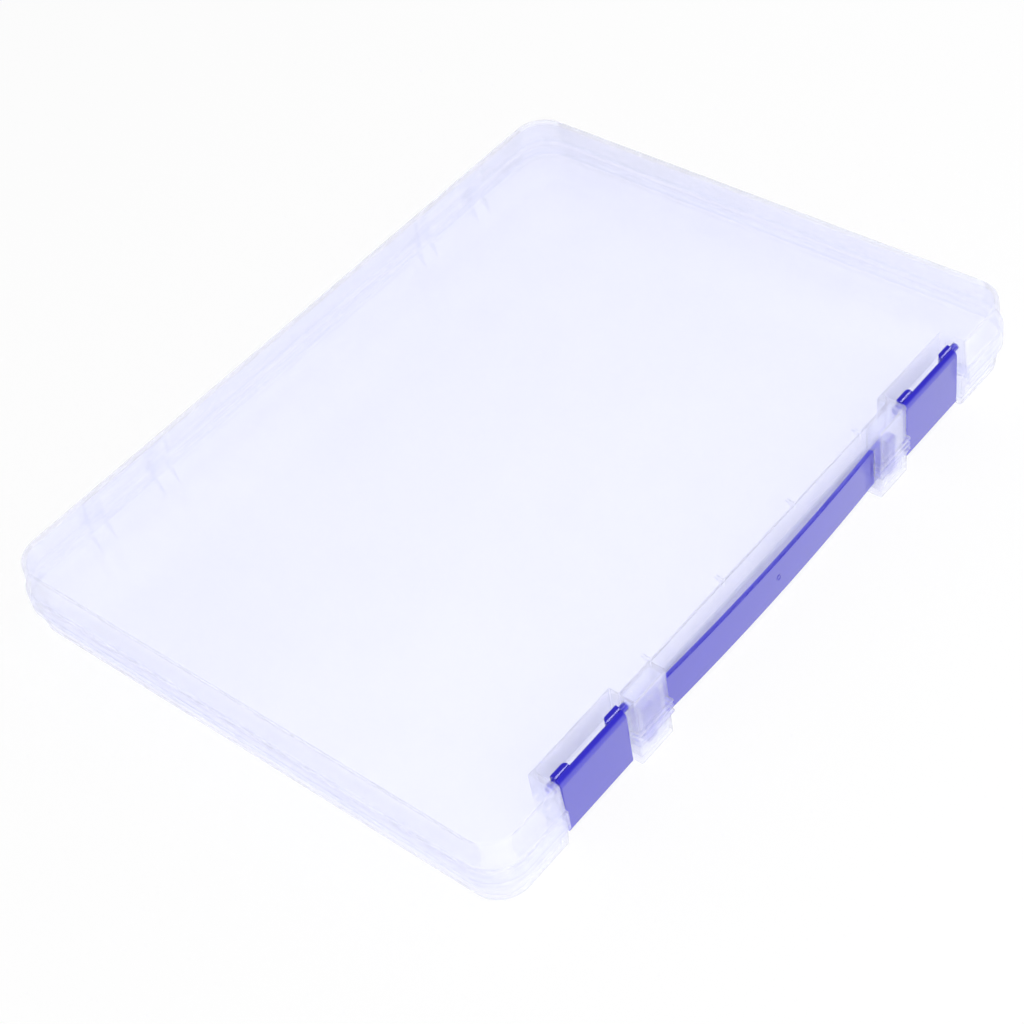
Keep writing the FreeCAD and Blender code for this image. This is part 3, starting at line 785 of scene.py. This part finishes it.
@dataclass
class Studio:
    """Plain white floor in a soft white room with two lamps."""

    floor_size: float = 60.0
    floor_colour: tuple[float, float, float] = (0.93, 0.93, 0.93)
    floor_glow: float = 0.85
    floor_roughness: float = 0.9
    floor_drop: float = 0.05 * MM
    light_passes: int = 32
    light_bounces: int = 10
    room_light: tuple[float, float, float] = (1.3, 0.43, 0.8)
    room_shown: tuple[float, float, float] = (0.6, 0.08, 0.3)
    lamps: tuple[Lamp, ...] = (
        Lamp("key_lamp", (-0.3, -0.95, 1.0), (1.6, 1.6), 12.4, False),
        Lamp("strip_lamp", (0.62, -0.42, 1.05), (1.1, 0.06), 2.5, True),
    )

    def build(self) -> None:
        """Makes the floor, the lamps and the world."""
        self._let_light_through()
        self._make_floor()
        for lamp in self.lamps:
            lamp.build()
        self._make_world()

    def _let_light_through(self) -> None:
        """Lets light pass all the clear walls that lie behind each other."""
        light = bpy.context.scene.cycles
        light.transparent_max_bounces = self.light_passes
        light.diffuse_bounces = self.light_bounces

    def _make_floor(self) -> None:
        """Lays the floor under the case."""
        bpy.ops.object.select_all(action="DESELECT")
        bpy.ops.mesh.primitive_plane_add(size=self.floor_size, location=(0, 0, -self.floor_drop))
        floor = bpy.context.active_object
        floor.name = "studio_floor"
        material = bpy.data.materials.new("studio_white")
        material.use_nodes = True
        nodes, links = material.node_tree.nodes, material.node_tree.links
        shader = nodes["Principled BSDF"]
        shader.inputs["Base Color"].default_value = (*self.floor_colour, 1.0)
        shader.inputs["Roughness"].default_value = self.floor_roughness
        shader.inputs["Specular IOR Level"].default_value = 0.0
        glow = nodes.new("ShaderNodeEmission")
        mix = nodes.new("ShaderNodeMixShader")
        links.new(self._seen(nodes, links, self.floor_glow), mix.inputs["Fac"])
        links.new(shader.outputs["BSDF"], mix.inputs[1])
        links.new(glow.outputs["Emission"], mix.inputs[2])
        links.new(mix.outputs["Shader"], nodes["Material Output"].inputs["Surface"])
        floor.data.materials.append(material)

    def _seen(
        self, nodes: bpy.types.Nodes, links: bpy.types.NodeLinks, share: float
    ) -> bpy.types.NodeSocket:
        """Share of the white glow for rays that show the background.

        Args:
            nodes: Nodes of the tree.
            links: Links of the tree.
            share: Glow of a ray from the camera, a gloss or a clear piece.

        Returns:
            The socket with the share.
        """
        path = nodes.new("ShaderNodeLightPath")
        total = path.outputs["Is Camera Ray"]
        for name in ("Is Glossy Ray", "Is Transmission Ray"):
            either = nodes.new("ShaderNodeMath")
            either.operation = "MAXIMUM"
            links.new(total, either.inputs[0])
            links.new(path.outputs[name], either.inputs[1])
            total = either.outputs["Value"]
        level = nodes.new("ShaderNodeMath")
        level.operation = "MULTIPLY"
        level.inputs[1].default_value = share
        links.new(total, level.inputs[0])
        return level.outputs["Value"]

    def _make_world(self) -> None:
        """Sets a soft room that is white to look at and dimmer in a gloss."""
        world = bpy.data.worlds.new("studio_room")
        world.use_nodes = True
        nodes, links = world.node_tree.nodes, world.node_tree.links
        room = nodes["Background"]
        room.inputs["Color"].default_value = (1.0, 1.0, 1.0, 1.0)
        direction = nodes.new("ShaderNodeTexCoord")
        height = nodes.new("ShaderNodeSeparateXYZ")
        links.new(direction.outputs["Generated"], height.inputs["Vector"])
        light = self._by_height(nodes, links, height.outputs["Z"], self.room_light)
        gloss = self._by_height(nodes, links, height.outputs["Z"], self.room_shown)
        path = nodes.new("ShaderNodeLightPath")
        seen = nodes.new("ShaderNodeMath")
        seen.operation = "MAXIMUM"
        links.new(path.outputs["Is Camera Ray"], seen.inputs[0])
        links.new(path.outputs["Is Transmission Ray"], seen.inputs[1])
        level = nodes.new("ShaderNodeMix")
        links.new(path.outputs["Is Glossy Ray"], level.inputs["Factor"])
        links.new(light, level.inputs["A"])
        links.new(gloss, level.inputs["B"])
        white = nodes.new("ShaderNodeMix")
        white.inputs["B"].default_value = 1.0
        links.new(seen.outputs["Value"], white.inputs["Factor"])
        links.new(level.outputs["Result"], white.inputs["A"])
        links.new(white.outputs["Result"], room.inputs["Strength"])
        bpy.context.scene.world = world

    def _by_height(
        self, nodes: bpy.types.Nodes, links: bpy.types.NodeLinks, height: bpy.types.NodeSocket,
        levels: tuple[float, float, float],
    ) -> bpy.types.NodeSocket:
        """A level that goes softly from the horizon upward.

        Args:
            nodes: Nodes of the world.
            links: Links of the world.
            height: Socket with the upward part of a direction.
            levels: Level at the horizon, level overhead and the height where that is reached.

        Returns:
            The socket with the level.
        """
        level = nodes.new("ShaderNodeMapRange")
        level.interpolation_type = "SMOOTHSTEP"
        horizon, overhead, reached = levels
        level.inputs["From Max"].default_value = reached
        level.inputs["To Min"].default_value = horizon
        level.inputs["To Max"].default_value = overhead
        links.new(height, level.inputs["Value"])
        return level.outputs["Result"]


def main() -> None:
    """Builds the case piece by piece, then the studio around it."""
    logging.basicConfig(level=logging.INFO, format="%(name)s: %(message)s")
    bpy.context.scene.view_settings.view_transform = "Standard"
    PhotoView().build()
    for part in (Shells(), Latch(Side.LEFT), Latch(Side.RIGHT), StrapHandle()):
        for piece in part.build():
            log.info("%s: %d faces", piece.name, len(piece.data.polygons))
    Studio().build()


if __name__ == "__main__":
    main()
